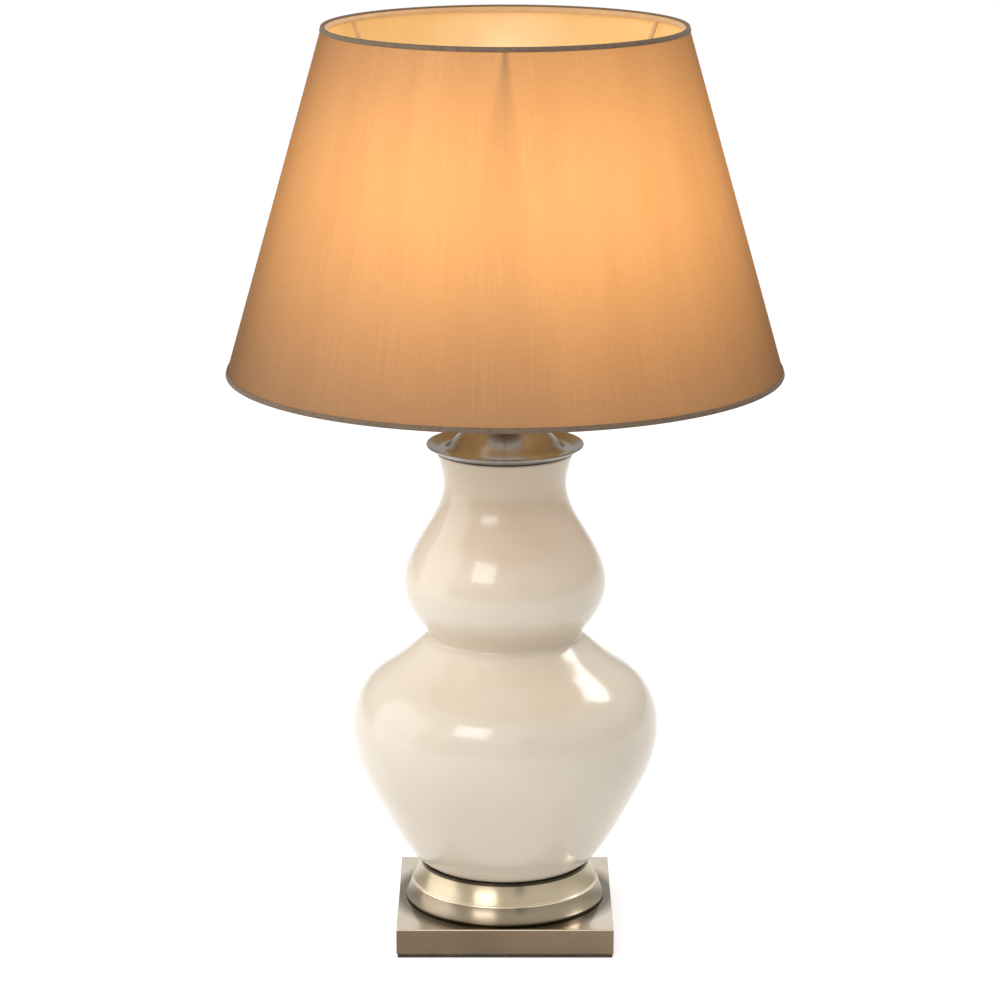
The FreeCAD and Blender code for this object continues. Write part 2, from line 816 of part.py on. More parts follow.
def arm_rod(radius):
    """The front arm's full cylinder, from inside the middle ring to the top wire's centre."""
    wire = wall_point(wire_down(), wire_depth())
    foot = Vector(0, -arm_foot_radius, centre_ring_top - arm_radius)
    return rod(foot, Vector(0, -wire[0], wire[1]), radius)


def top_trim():
    """The upper trim, notched where each arm reaches the wire."""
    tape = trim(0, 1)
    for k in range(arm_count):
        tape = tape.cut(around_axis(arm_rod(arm_radius + trim_gap), k * 360 / arm_count))
    return tape


def shade_arms(top_wire):
    """Straight wires from the top ring down to the middle ring, the first towards the front."""
    arm = arm_rod(arm_radius).cut(top_wire)
    arm = arm.common(cylinder(shade_bottom_radius, centre_ring_top, shade_height))
    arm = max(arm.Solids, key=lambda piece: piece.Volume)
    return Part.makeCompound([around_axis(arm, k * 360 / arm_count) for k in range(arm_count)])


# ---------------------------------------------------------------- bulb

def bulb_base_foot():
    return bulb_foot + bulb_tip_height


def bulb_cap_bottom():
    return bulb_base_foot() + bulb_base_height


def bulb_cap_top():
    return bulb_cap_bottom() + bulb_cap_length


def bulb_glass_foot():
    return bulb_cap_top() - bulb_cap_collar


def bulb_outline(inset):
    """The glass from neck to crown, as edges: a flared neck that runs into a sphere."""
    centre = bulb_foot + bulb_length - bulb_glass_radius
    radius = bulb_glass_radius - inset
    join_angle = math.radians(bulb_neck_join_angle)
    middle_angle = (join_angle + math.pi / 2) / 2
    join = (radius * math.cos(join_angle), centre + radius * math.sin(join_angle))
    middle = (radius * math.cos(middle_angle), centre + radius * math.sin(middle_angle))
    foot = (bulb_neck_radius - inset, bulb_glass_foot() + inset)
    straight_end = (bulb_neck_radius - inset, bulb_cap_top())
    along_sphere = (-math.sin(join_angle), math.cos(join_angle))
    flare = smooth_curve([straight_end, join], (0.0, 1.0), along_sphere)
    crown = (0, centre + radius)
    return foot, crown, [line(foot, straight_end), flare.toShape(), arc(join, middle, crown)]


def bulb_glass():
    foot, crown, outer = bulb_outline(0)
    inner_foot, inner_crown, inner = bulb_outline(bulb_glass_wall)
    edges = outer + [line(crown, inner_crown)] + inner
    edges += polyline([inner_foot, (bulb_stem_radius, inner_foot[1]), (bulb_stem_radius, foot[1]), foot])
    return revolve(edges)


def bulb_stem():
    """The glass post inside, which narrows towards its tip."""
    foot = bulb_glass_foot()
    radius = bulb_stem_radius - thread_clearance
    tip = foot + bulb_stem_height
    return turned([(0, foot), (radius, foot), (radius, foot + bulb_stem_straight),
                   (bulb_stem_tip_radius, tip), (0, tip)])


def bulb_filament():
    """The lit ring that the stem carries on a short post and two spokes."""
    tip = bulb_glass_foot() + bulb_stem_height
    height = tip + filament_post_height
    ring = Part.makeTorus(filament_ring_radius, filament_radius, Vector(0, 0, height), Z_UP)
    spoke = rod(Vector(-filament_ring_radius, 0, height), Vector(filament_ring_radius, 0, height),
                filament_spoke_radius)
    post = rod(Vector(0, 0, tip), Vector(0, 0, height), filament_post_radius)
    return ring.fuse(spoke).fuse(post)


def bulb_screw_cap():
    """The metal screw base: a thin shell with rounded thread ridges and a plain collar."""
    bottom = bulb_cap_bottom()
    top = bulb_cap_top()
    root = bulb_cap_radius - bulb_cap_groove
    collar_foot = top - bulb_cap_collar - bulb_cap_shell
    ridges = int((collar_foot - bottom) / bulb_cap_pitch)
    outline = [(root, bottom)]
    for k in range(ridges):
        start = bottom + (k + 0.1) * bulb_cap_pitch
        outline += [(root, start), (bulb_cap_radius, start + 0.3 * bulb_cap_pitch),
                    (bulb_cap_radius, start + 0.5 * bulb_cap_pitch), (root, start + 0.8 * bulb_cap_pitch)]
    collar_inner = bulb_neck_radius + thread_clearance
    outline += [(root, collar_foot), (bulb_cap_radius, collar_foot), (bulb_cap_radius, top),
                (collar_inner, top), (collar_inner, collar_foot + bulb_cap_shell),
                (root - bulb_cap_shell, collar_foot), (root - bulb_cap_shell, bottom)]
    return turned(outline)


def bulb_insulator():
    """The dark glass cone between the screw cap and the tip."""
    foot = bulb_base_foot()
    root = bulb_cap_radius - bulb_cap_groove
    return turned([(0, foot), (bulb_base_foot_radius, foot), (root, bulb_cap_bottom()),
                   (0, bulb_cap_bottom())])


def bulb_tip():
    return turned([(0, bulb_foot), (bulb_tip_foot_radius, bulb_foot), (bulb_tip_radius, bulb_base_foot()),
                   (0, bulb_base_foot())])


# ---------------------------------------------------------------- the pieces, from the table up

top_wire = wire_ring(wire_down())
bottom_wire = wire_ring(slant_length() - wire_down())
centre_ring = shade_centre_ring()

export(base_pad(), "base_pad")
export(base_plate(), "base_plate")
export(base_screws(), "base_screws")
export(plinth(), "plinth")
export(cord_grommet(), "cord_grommet")
export(ballast_weight(), "ballast_weight")
export(base_nut(), "base_nut")
export(base_washer(), "base_washer")
export(pedestal_ring(), "pedestal_ring")
export(foot_seat(), "foot_seat")
export(gourd_body(), "gourd_body")
export(mouth_seat(), "mouth_seat")
export(vase_cap(), "vase_cap")
export(threaded_tube(), "threaded_tube")
export(star_washer(), "star_washer")
export(top_nut(), "top_nut")
export(neck_collar(), "neck_collar")
export(lampholder_cap(), "lampholder_cap")
export(grub_screw(), "grub_screw")
export(switch_bar(), "switch_bar")
export(lampholder_skirt(), "lampholder_skirt")
export(lampholder_insert(), "lampholder_insert")
export(screw_shell(), "screw_shell")
export(centre_contact(), "centre_contact")
export(terminal_screws(), "terminal_screws")
export(lower_carrier(), "lower_carrier")
export(ring_nut(), "ring_nut")
export(centre_ring, "shade_centre_ring")
export(shade_arms(top_wire), "shade_arms")
export(top_wire, "shade_top_wire")
export(bottom_wire, "shade_bottom_wire")
export(shade_liner(), "shade_liner")
export(shade_cover(), "shade_cover")
export(shade_seam(), "shade_seam")
export(top_trim(), "shade_top_trim")
export(trim(slant_length(), -1), "shade_bottom_trim")
export(bulb_tip(), "bulb_tip")
export(bulb_insulator(), "bulb_insulator")
export(bulb_screw_cap(), "bulb_screw_cap")
export(bulb_glass(), "bulb_glass")
export(bulb_stem(), "bulb_stem")
export(bulb_filament(), "bulb_filament")
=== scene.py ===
# %% [markdown]
# # A double gourd table lamp
# The lamp is a glazed ceramic body of two bulbs on a turned metal ring and a square
# plinth, under a lit cone of slubby cloth. Its metal and ceramic solids come from the
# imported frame, and this file gives them their finishes, makes the pieces whose surface
# counts most again in fine meshes, and sets the light and the camera.

import json
import math

import bmesh
import bpy
from mathutils import Matrix, Vector


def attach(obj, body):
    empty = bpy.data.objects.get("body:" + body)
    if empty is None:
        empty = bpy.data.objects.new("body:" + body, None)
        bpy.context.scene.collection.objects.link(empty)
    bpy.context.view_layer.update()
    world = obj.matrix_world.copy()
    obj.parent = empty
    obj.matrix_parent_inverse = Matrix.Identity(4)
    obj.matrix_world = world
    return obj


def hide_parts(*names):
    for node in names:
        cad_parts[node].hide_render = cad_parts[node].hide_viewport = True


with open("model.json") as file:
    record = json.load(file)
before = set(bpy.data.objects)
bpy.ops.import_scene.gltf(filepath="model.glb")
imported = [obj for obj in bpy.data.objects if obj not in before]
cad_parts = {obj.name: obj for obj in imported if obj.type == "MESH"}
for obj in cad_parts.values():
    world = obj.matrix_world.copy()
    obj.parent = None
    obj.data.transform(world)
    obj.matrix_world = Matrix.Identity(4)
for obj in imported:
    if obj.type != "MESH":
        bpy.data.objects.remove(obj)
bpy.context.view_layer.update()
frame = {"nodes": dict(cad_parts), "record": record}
nodes = frame["nodes"]

# %% [markdown]
# ## Camera
# The lamp was photographed with a long lens from a little above its middle. The camera
# stands 2.6 m in front of the lamp's axis and looks down by 14 degrees, so both rims of
# the shade show as ellipses. It stands 4 mm to the left, which puts the axis where it is
# in the picture.

# %% camera
LOOK_DOWN = 14.0
camera_data = bpy.data.cameras.new("camera")
camera_data.lens = 131.04
camera_data.sensor_width = 36.0
camera = bpy.data.objects.new("camera", camera_data)
camera.location = (-0.0037, -2.600, 0.976)
camera.rotation_euler = (math.radians(90.0 - LOOK_DOWN), 0, 0)
bpy.context.scene.collection.objects.link(camera)
bpy.context.scene.camera = camera
bpy.context.scene.view_settings.view_transform = "Standard"
print("camera at", tuple(camera.location))

# %% [markdown]
# ## Helpers for meshes
# Nearly everything on this lamp is round, so one helper spins a profile about the Z
# axis. The profile is a list of radii and heights in millimetres. The full spin merges
# its last step into the first, doubles at a pole are merged too, and then the normals
# are made to point outwards.

# %% spin a profile
MM = 0.001


def profile_vertices(bm, points):
    verts = [bm.verts.new((0, r * MM, z * MM)) for r, z in points]
    edges = [bm.edges.new(pair) for pair in zip(verts, verts[1:])]
    return verts + edges


def spun(points, steps, closed=False):
    """A mesh spun from a profile; it starts at the back, where a seam shows least."""
    bm = bmesh.new()
    outline = points + points[:1] if closed else points
    bmesh.ops.spin(bm, geom=profile_vertices(bm, outline), cent=(0, 0, 0), axis=(0, 0, 1),
                   dvec=(0, 0, 0), angle=math.tau, steps=steps, use_merge=True, use_duplicate=False)
    bmesh.ops.remove_doubles(bm, verts=bm.verts, dist=1e-6)
    bmesh.ops.recalc_face_normals(bm, faces=bm.faces)
    face_outwards(bm)
    return bm


def face_outwards(bm):
    """An open shell has no inside, so its widest face shows which way is out."""
    widest = max(bm.faces, key=lambda face: face.calc_center_median().xy.length)
    if widest.normal.xy.dot(widest.calc_center_median().xy) < 0:
        bmesh.ops.reverse_faces(bm, faces=bm.faces)


# %% rounded corners and walls of a profile
def rounded(centre, radius, first, last, steps=4):
    """Points on an arc of a profile, from one angle to another in degrees."""
    angles = [math.radians(first + (last - first) * i / steps) for i in range(steps + 1)]
    return [(centre[0] + radius * math.cos(a), centre[1] + radius * math.sin(a)) for a in angles]


def beside(points, distance):
    """The same line moved sideways, to its right as one walks along it."""
    moved = []
    for i, (r, z) in enumerate(points):
        before, after = points[max(i - 1, 0)], points[min(i + 1, len(points) - 1)]
        run, rise = after[0] - before[0], after[1] - before[1]
        length = math.hypot(run, rise)
        moved.append((r + distance * rise / length, z - distance * run / length))
    return moved


# %% turn a bmesh into an object, and into a piece that rides on a body
def object_from(bm, name, material):
    mesh = bpy.data.meshes.new(name)
    bm.to_mesh(mesh)
    bm.free()
    mesh.materials.append(material)
    made = bpy.data.objects.new(name, mesh)
    bpy.context.scene.collection.objects.link(made)
    return made


def piece(bm, name, body, slot, replaced):
    """A smooth piece in the finish of its slot, which stands for one solid of the frame."""
    made = object_from(bm, name, finishes[slot])
    made.data.shade_smooth()
    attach(made, body)
    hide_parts(replaced)
    print("made", name, "with", len(made.data.polygons), "faces")
    return made


# %% [markdown]
# ## Helpers for finishes
# Each finish is a Principled shader. Its colour wanders a little between two tones, and
# a fine bump gives the grain, both from noise on Object coordinates, so the pattern
# stays on the piece. The stretch says how the grain runs: a large number squeezes it
# along that axis, which draws fine lines across it.

# %% shader helpers
def new_finish(name):
    material = bpy.data.materials.new(name)
    material.use_nodes = True
    tree = material.node_tree
    return material, tree, tree.nodes["Principled BSDF"]


def add_node(tree, kind, **values):
    """A node whose input values are given by name, with _ for a space."""
    node = tree.nodes.new(kind)
    for key, value in values.items():
        node.inputs[key.replace("_", " ")].default_value = value
    return node


def object_space(tree, stretch=(1, 1, 1)):
    coordinates = tree.nodes.new("ShaderNodeTexCoord")
    mapping = add_node(tree, "ShaderNodeMapping", Scale=stretch)
    tree.links.new(coordinates.outputs["Object"], mapping.inputs["Vector"])
    return mapping.outputs["Vector"]


def noise(tree, place, scale, detail=3.0, roughness=0.5):
    node = add_node(tree, "ShaderNodeTexNoise", Scale=scale, Detail=detail, Roughness=roughness)
    tree.links.new(place, node.inputs["Vector"])
    return node.outputs["Fac"]


def bump(tree, height, strength, distance, under=None):
    node = add_node(tree, "ShaderNodeBump", Strength=strength, Distance=distance)
    tree.links.new(height, node.inputs["Height"])
    if under is not None:
        tree.links.new(under, node.inputs["Normal"])
    return node.outputs["Normal"]


def height_share(tree, low, high):
    """How far up a point lies, from 0 at low to 1 at high, by Object coordinates in metres."""
    axes = tree.nodes.new("ShaderNodeSeparateXYZ")
    tree.links.new(object_space(tree), axes.inputs[0])
    share = add_node(tree, "ShaderNodeMapRange", From_Min=low, From_Max=high)
    tree.links.new(axes.outputs["Z"], share.inputs["Value"])
    return share.outputs["Result"]


# %% colour helpers
def stepped(tree, factor, stops, interpolation="LINEAR"):
    """The colour that a ramp with these stops, each a place and a colour, has at the factor."""
    node = tree.nodes.new("ShaderNodeValToRGB")
    ramp = node.color_ramp
    ramp.interpolation = interpolation
    for element, (place, colour) in zip(ramp.elements, (stops[0], stops[-1])):
        element.position, element.color = place, (*colour, 1)
    for place, colour in stops[1:-1]:
        ramp.elements.new(place).color = (*colour, 1)
    tree.links.new(factor, node.inputs["Fac"])
    return node.outputs["Color"]


def tones(tree, factor, dark, light):
    """Noise keeps near its middle, so the two tones stand close to it on both sides."""
    return stepped(tree, factor, ((0.35, dark), (0.65, light)))


def mixed(tree, share, first, second, blend="MIX"):
    """Two colours mixed; the share and each colour is a link or a plain value."""
    node = tree.nodes.new("ShaderNodeMix")
    node.data_type, node.blend_type = "RGBA", blend
    for name, value in (("Factor", share), ("A", first), ("B", second)):
        if isinstance(value, bpy.types.NodeSocket):
            tree.links.new(value, node.inputs[name])
        else:
            node.inputs[name].default_value = (*value, 1) if name != "Factor" else value
    return node.outputs["Result"]


# %% a plain finish with grain
TONE_SCALE, GRAIN_DETAIL, GRAIN_STRENGTH = 0.3, 4.0, 0.4


def wandering(tree, scale, dark, light):
    """A colour that wanders between two tones over the piece."""
    return tones(tree, noise(tree, object_space(tree), scale), dark, light)


def grained(name, dark, light, roughness, metallic=0.0, scale=40.0, stretch=(1, 1, 1), depth=0.00005):
    material, tree, shader = new_finish(name)
    grain = noise(tree, object_space(tree, stretch), scale, GRAIN_DETAIL)
    tree.links.new(wandering(tree, scale * TONE_SCALE, dark, light), shader.inputs["Base Color"])
    tree.links.new(bump(tree, grain, GRAIN_STRENGTH, depth), shader.inputs["Normal"])
    shader.inputs["Roughness"].default_value = roughness
    shader.inputs["Metallic"].default_value = metallic
    return material


# %% [markdown]
# ## Metal
# The ring, the cap and the plinth are polished metal with a warm, aged tone. Polished
# metal shows mostly what stands around it, so its tone and a low roughness do the work.
# Turned pieces keep very fine rings from the lathe: the grain is squeezed along Z.
#
# The lathe's rings also scatter light up and down much more than sideways, which draws
# reflections out into upright streaks. That is anisotropy, with a tangent that runs
# round the Z axis and is turned by a quarter.

# %% metal finishes
def turned_metal(name, dark, light, roughness, streak):
    material = grained(name, dark, light, roughness, 1.0, 60.0, (0.3, 0.3, 30.0), 0.00002)
    tree = material.node_tree
    round_z = tree.nodes.new("ShaderNodeTangent")
    round_z.direction_type = "RADIAL"
    round_z.axis = "Z"
    shader = tree.nodes["Principled BSDF"]
    tree.links.new(round_z.outputs["Tangent"], shader.inputs["Tangent"])
    shader.inputs["Anisotropic"].default_value = streak
    shader.inputs["Anisotropic Rotation"].default_value = 0.25
    return material


finishes = {}
finishes["ring_nickel"] = turned_metal("ring_nickel", (0.45, 0.372, 0.25), (0.53, 0.447, 0.315), 0.28, 0.85)
finishes["cap_nickel"] = turned_metal("cap_nickel", (0.24, 0.233, 0.22), (0.30, 0.292, 0.278), 0.22, 0.8)

# %% [markdown]
# The ring's colour is multiplied by tones in bands of height, which paint light and shade
# on it. Its foot and the lip under the body are painted nearly black as painted shadow,
# the lower band is painted darker as painted shade, and the narrow shoulder between
# them is painted bright as a painted highlight.

# %% painted shade and highlight of the ring, by height
def band_tones(material, bands):
    """Multiplies the colour by a tone for each band of height, in metres."""
    tree = material.node_tree
    colour = tree.nodes["Principled BSDF"].inputs["Base Color"]
    low, high = bands[0][0], bands[-1][0]
    stops = [((place - low) / (high - low), tone) for place, tone in bands]
    # the bands of painted shadow, painted shade and painted highlight
    painted_shading = stepped(tree, height_share(tree, low, high), stops)
    tree.links.new(mixed(tree, 1.0, colour.links[0].from_socket, painted_shading, "MULTIPLY"), colour)


# Tones that paint light on the ring: painted shadow at the foot and under the body, painted shade on the
# lower band, a painted highlight on the shoulder; the plain tone leaves the colour as it is.
PAINTED_SHADOW, PAINTED_SHADE, PAINTED_HIGHLIGHT, PLAIN_TONE = (0.12, 0.11, 0.10), (0.60, 0.59, 0.60), (1.6, 1.6, 1.7), (1.0, 1.0, 1.0)
band_tones(finishes["ring_nickel"], (
    (0.022, PAINTED_SHADOW), (0.0235, PAINTED_SHADOW), (0.0242, PAINTED_SHADE), (0.0346, PAINTED_SHADE), (0.0350, PAINTED_HIGHLIGHT),
    (0.0362, PAINTED_HIGHLIGHT), (0.0366, PLAIN_TONE), (0.0488, PLAIN_TONE), (0.0494, PAINTED_SHADOW), (0.051, PAINTED_SHADOW)))

# %% other metals
finishes["zinc_steel"] = grained("zinc_steel", (0.50, 0.50, 0.48), (0.62, 0.62, 0.60), 0.32, 1.0, 200.0)
finishes["ballast_iron"] = grained("ballast_iron", (0.05, 0.05, 0.05), (0.11, 0.105, 0.10), 0.6, 0.8,
                                   150.0, (1, 1, 1), 0.0003)
finishes["holder_brass"] = grained("holder_brass", (0.55, 0.40, 0.18), (0.66, 0.50, 0.26), 0.22, 1.0,
                                   80.0, (1, 1, 20.0), 0.00002)
finishes["contact_brass"] = grained("contact_brass", (0.58, 0.43, 0.18), (0.68, 0.53, 0.25), 0.3, 1.0, 150.0)
finishes["bulb_tin"] = grained("bulb_tin", (0.68, 0.67, 0.65), (0.78, 0.77, 0.75), 0.25, 1.0, 150.0)
print("metals:", len(finishes))

# %% [markdown]
# The plinth is of the same metal, but its sides are painted darker than its top: that is
# painted shade, as the sides face away from the light. The mask for that is the Z part
# of the surface's own normal in Object space, which is 1 on the top and 0 on the sides.
# Between them, on the rounded edges, a pale tone is a painted highlight.
# Close round the ring the top is painted as dark as the sides, as painted shade at its foot.
# A slow noise varies the tones a little, and a fine brushed grain runs along X.

# %% painted shade round the foot of the ring
SHADED_RADIUS, UNSHADED_RADIUS = 0.079, 0.090


def shaded_near_ring(tree, lit_tone, shaded_tone):
    """Blends from the painted shade tone to the lit one with the distance from the lamp's axis."""
    distance = tree.nodes.new("ShaderNodeVectorMath")
    distance.operation = "LENGTH"
    tree.links.new(object_space(tree, (1, 1, 0)), distance.inputs[0])
    outside = add_node(tree, "ShaderNodeMapRange", From_Min=SHADED_RADIUS, From_Max=UNSHADED_RADIUS)
    tree.links.new(distance.outputs["Value"], outside.inputs["Value"])
    return mixed(tree, outside.outputs["Result"], shaded_tone, lit_tone)


# %% plinth finish
def plinth_metal():
    material, tree, shader = new_finish("plinth_nickel")
    # painted shade: the sides are darker than the top because they face away from the light
    shaded_sides = wandering(tree, 14.0, (0.160, 0.117, 0.078), (0.195, 0.145, 0.098))
    lit_tone = wandering(tree, 18.0, (0.66, 0.57, 0.45), (0.74, 0.65, 0.53))
    # painted shade on the top close round the ring's foot
    top = shaded_near_ring(tree, lit_tone, (0.150, 0.110, 0.068))
    coordinates = tree.nodes.new("ShaderNodeTexCoord")
    axes = tree.nodes.new("ShaderNodeSeparateXYZ")
    tree.links.new(coordinates.outputs["Normal"], axes.inputs[0])
    facing_up = axes.outputs["Z"]
    # painted highlight on the rounded edges, between the top and the sides
    painted_edge_highlight = stepped(tree, facing_up, ((0.03, (0, 0, 0)), (0.15, (1, 1, 1)),
                                        (0.85, (1, 1, 1)), (0.97, (0, 0, 0))))
    painted_shading = mixed(tree, facing_up, shaded_sides, top)
    tree.links.new(mixed(tree, painted_edge_highlight, painted_shading, (0.86, 0.76, 0.60)), shader.inputs["Base Color"])
    brushed = noise(tree, object_space(tree, (0.4, 12.0, 12.0)), 50.0, 4.0)
    tree.links.new(bump(tree, brushed, 0.4, 0.00001), shader.inputs["Normal"])
    shader.inputs["Roughness"].default_value = 0.13
    shader.inputs["Metallic"].default_value = 1.0
    return material


finishes["plinth_nickel"] = plinth_metal()

# %% [markdown]
# ## Small parts
# Felt, rubber, porcelain, black plastic and painted wire fill the rest of the list. The
# wires of the shade are painted white, but amid the lit cloth they look amber, so they
# are given the cloth's tone and a little of its light.

# %% finishes of the small parts
finishes["base_felt"] = grained("base_felt", (0.045, 0.04, 0.032), (0.09, 0.08, 0.066), 0.95, 0.0,
                                900.0, (1, 1, 1), 0.0003)
finishes["grommet_rubber"] = grained("grommet_rubber", (0.02, 0.02, 0.02), (0.035, 0.035, 0.035), 0.55,
                                     0.0, 300.0)
finishes["seat_rubber"] = grained("seat_rubber", (0.03, 0.027, 0.024), (0.06, 0.055, 0.05), 0.6, 0.0, 300.0)
finishes["switch_black"] = grained("switch_black", (0.02, 0.018, 0.016), (0.035, 0.032, 0.028), 0.2,
                                   0.0, 200.0)
finishes["white_porcelain"] = grained("white_porcelain", (0.80, 0.78, 0.72), (0.88, 0.86, 0.81), 0.4,
                                      0.0, 200.0)
finishes["white_wire"] = grained("white_wire", (0.34, 0.24, 0.13), (0.40, 0.29, 0.16), 0.45, 0.0,
                                 300.0, (1, 1, 1), 0.0001)
wire_shader = finishes["white_wire"].node_tree.nodes["Principled BSDF"]
wire_shader.inputs["Emission Color"].default_value = (1.0, 0.46, 0.16, 1)
wire_shader.inputs["Emission Strength"].default_value = 0.30
finishes["bulb_black_glass"] = grained("bulb_black_glass", (0.015, 0.015, 0.02), (0.03, 0.03, 0.035), 0.1)
print("finishes so far:", len(finishes))

# %% [markdown]
# ## Glaze
# The body has a thick cream glaze. Under it the clay shows the faint rings of the wheel,
# and the glaze itself pools unevenly, so reflections wander a little. Two bumps do this:
# a broad one for the pooling and a fine one, squeezed along Z, for the rings.

# %% where the glaze lies thick, and painted shade at the crease and neck
CREASE_HEIGHT, MOUTH_HEIGHT = 0.222, 0.3645
POOLING_AND_SHADE = ((0.0, 0.0), (0.03, 0.5), (0.09, 0.5), (0.22, 0.0), (0.62, 0.0), (0.86, 0.42), (1.0, 0.6))


def pooled_and_shaded(tree, clear, thick_and_shaded):
    """Blends to a darker tone at the crease and up the neck: partly glaze pooling, partly painted shade in
    the crease and under the cap.
    """
    height = height_share(tree, CREASE_HEIGHT, MOUTH_HEIGHT)
    share = stepped(tree, height, [(place, (part, part, part)) for place, part in POOLING_AND_SHADE], "EASE")
    return mixed(tree, share, clear, thick_and_shaded)


# %% cream glaze
def cream_glaze():
    material, tree, shader = new_finish("cream_glaze")
    broad = noise(tree, object_space(tree), 9.0, 2.0)
    rings = noise(tree, object_space(tree, (1.0, 1.0, 40.0)), 5.0)
    clear = tones(tree, broad, (0.765, 0.675, 0.55), (0.805, 0.725, 0.605))
    # the darker tone is partly pooled glaze and partly painted shade
    tree.links.new(pooled_and_shaded(tree, clear, (0.60, 0.49, 0.345)), shader.inputs["Base Color"])
    wavy = bump(tree, broad, 0.5, 0.0012)
    tree.links.new(bump(tree, rings, 0.35, 0.00022, wavy), shader.inputs["Normal"])
    shader.inputs["Roughness"].default_value = 0.15
    shader.inputs["IOR"].default_value = 1.52
    return material


finishes["cream_glaze"] = cream_glaze()

# %% [markdown]
# ## Lit cloth
# The shade is a hardback: slubby cloth glued on a smooth sheet, lit from inside. How
# bright each place is follows from the bulb: it falls off with distance and slant, and
# the frame's wires throw soft shadows. That is worked out once for each point of the
# cloth and stored as the attribute "glow", which scales the cloth's own light. A thin
# tinted coat stands for the thickness of the cloth: light that leaves at a slant goes
# through more thread, so a lit shade is darker towards its sides.
# The threads come from noise on the cloth's own UV map, where U runs round the shade and
# V up the slope, both in metres: long fine streaks up the slope, short slubs across it,
# and slow changes of thickness.

# %% thread pattern
# stretch of each noise on the UV map, and its share in the pattern
THREADS = (((900, 14, 1), 0.28), ((60, 900, 1), 0.22), ((1600, 1600, 1), 0.10),
           ((34, 2.2, 1), 0.24), ((10, 9, 1), 0.16))


def cloth_pattern(tree):
    """The thread pattern from 0 to 1, brighter where the cloth is thinner."""
    uv = tree.nodes.new("ShaderNodeUVMap")
    uv.uv_map = "cloth"
    total = None
    for stretch, share in THREADS:
        mapping = add_node(tree, "ShaderNodeMapping", Scale=stretch)
        tree.links.new(uv.outputs["UV"], mapping.inputs["Vector"])
        sum_so_far = tree.nodes.new("ShaderNodeMath")
        sum_so_far.operation = "MULTIPLY_ADD"
        tree.links.new(noise(tree, mapping.outputs["Vector"], 1.0, 2.0), sum_so_far.inputs[0])
        sum_so_far.inputs[1].default_value = share
        sum_so_far.inputs[2].default_value = 0.0
        if total is not None:
            tree.links.new(total, sum_so_far.inputs[2])
        total = sum_so_far.outputs[0]
    return total


# %% cloth finish
def lit_cloth(name, dark, light, glow_dark, glow_light, strength):
    material, tree, shader = new_finish(name)
    threads = cloth_pattern(tree)
    tree.links.new(tones(tree, threads, dark, light), shader.inputs["Base Color"])
    tree.links.new(bump(tree, threads, 0.6, 0.0002), shader.inputs["Normal"])
    glow = tree.nodes.new("ShaderNodeAttribute")
    glow.attribute_name = "glow"
    lit = tree.nodes.new("ShaderNodeVectorMath")
    lit.operation = "SCALE"
    tree.links.new(tones(tree, threads, glow_dark, glow_light), lit.inputs[0])
    tree.links.new(glow.outputs["Fac"], lit.inputs["Scale"])
    tree.links.new(lit.outputs[0], shader.inputs["Emission Color"])
    shader.inputs["Emission Strength"].default_value = strength
    shader.inputs["Roughness"].default_value = 0.85
    shader.inputs["Specular IOR Level"].default_value = 0.2
    shader.inputs["Coat Weight"].default_value = 1.0
    shader.inputs["Coat Roughness"].default_value = 1.0
    shader.inputs["Coat IOR"].default_value = 1.05
    shader.inputs["Coat Tint"].default_value = (0.68, 0.68, 0.68, 1)
    return material


finishes["shade_fabric"] = lit_cloth("shade_fabric", (0.19, 0.132, 0.092), (0.248, 0.174, 0.121),
                                     (0.815, 0.33, 0.080), (0.945, 0.412, 0.110), 1.72)

# %% [markdown]
# The tape over the shade's edges is the same kind of cloth, folded several times, so
# little light comes through: an even taupe with fine ribs across it.

# %% tape finish
finishes["shade_trim"] = grained("shade_trim", (0.155, 0.105, 0.068), (0.20, 0.14, 0.092), 0.85, 0.0,
                                 1100.0, (1, 1, 0.5), 0.0002)

# %% [markdown]
# The liner is a smooth sheet with a slight gloss, in which the bulb shows as a pale
# streak. It is brightest level with the bulb and dims towards both edges. The ramp that
# gives its light reads the height, from the shade's lower edge to its upper edge.

# %% liner finish
def lit_liner(bottom, top, strength):
    material, tree, shader = new_finish("shade_liner")
    # The amber base colour is painted light: the pale sheet as it looks lit by the bulb.
    tree.links.new(wandering(tree, 20.0, (0.52, 0.38, 0.18), (0.58, 0.43, 0.21)), shader.inputs["Base Color"])
    light = stepped(tree, height_share(tree, bottom, top), (
        (0.0, (0.22, 0.09, 0.03)), (0.35, (0.75, 0.37, 0.11)),
        (0.6, (1.0, 0.55, 0.18)), (1.0, (0.98, 0.52, 0.165))), "B_SPLINE")
    tree.links.new(light, shader.inputs["Emission Color"])
    shader.inputs["Emission Strength"].default_value = strength
    shader.inputs["Roughness"].default_value = 0.19
    shader.inputs["Specular IOR Level"].default_value = 0.85
    return material


finishes["shade_liner"] = lit_liner(0.4245, 0.677, 0.385)

# %% [markdown]
# ## Bulb
# The pearl glass glows evenly, so it is given light of its own. It is the light that
# fills the inside of the shade and falls on the holder, the wires and the cap.

# %% bulb finishes
def glowing(name, colour, strength, roughness):
    material, tree, shader = new_finish(name)
    tree.links.new(wandering(tree, 30.0, (0.9, 0.85, 0.75), (0.95, 0.92, 0.85)), shader.inputs["Base Color"])
    shader.inputs["Emission Color"].default_value = (*colour, 1)
    shader.inputs["Emission Strength"].default_value = strength
    shader.inputs["Roughness"].default_value = roughness
    return material


finishes["pearl_glass"] = glowing("pearl_glass", (1.0, 0.90, 0.80), 3.6, 0.25)
finishes["filament"] = glowing("filament", (1.0, 0.85, 0.6), 3.0, 0.4)
finishes["clear_glass"] = grained("clear_glass", (0.86, 0.86, 0.86), (0.94, 0.94, 0.94), 0.05)
print("finishes:", sorted(finishes))

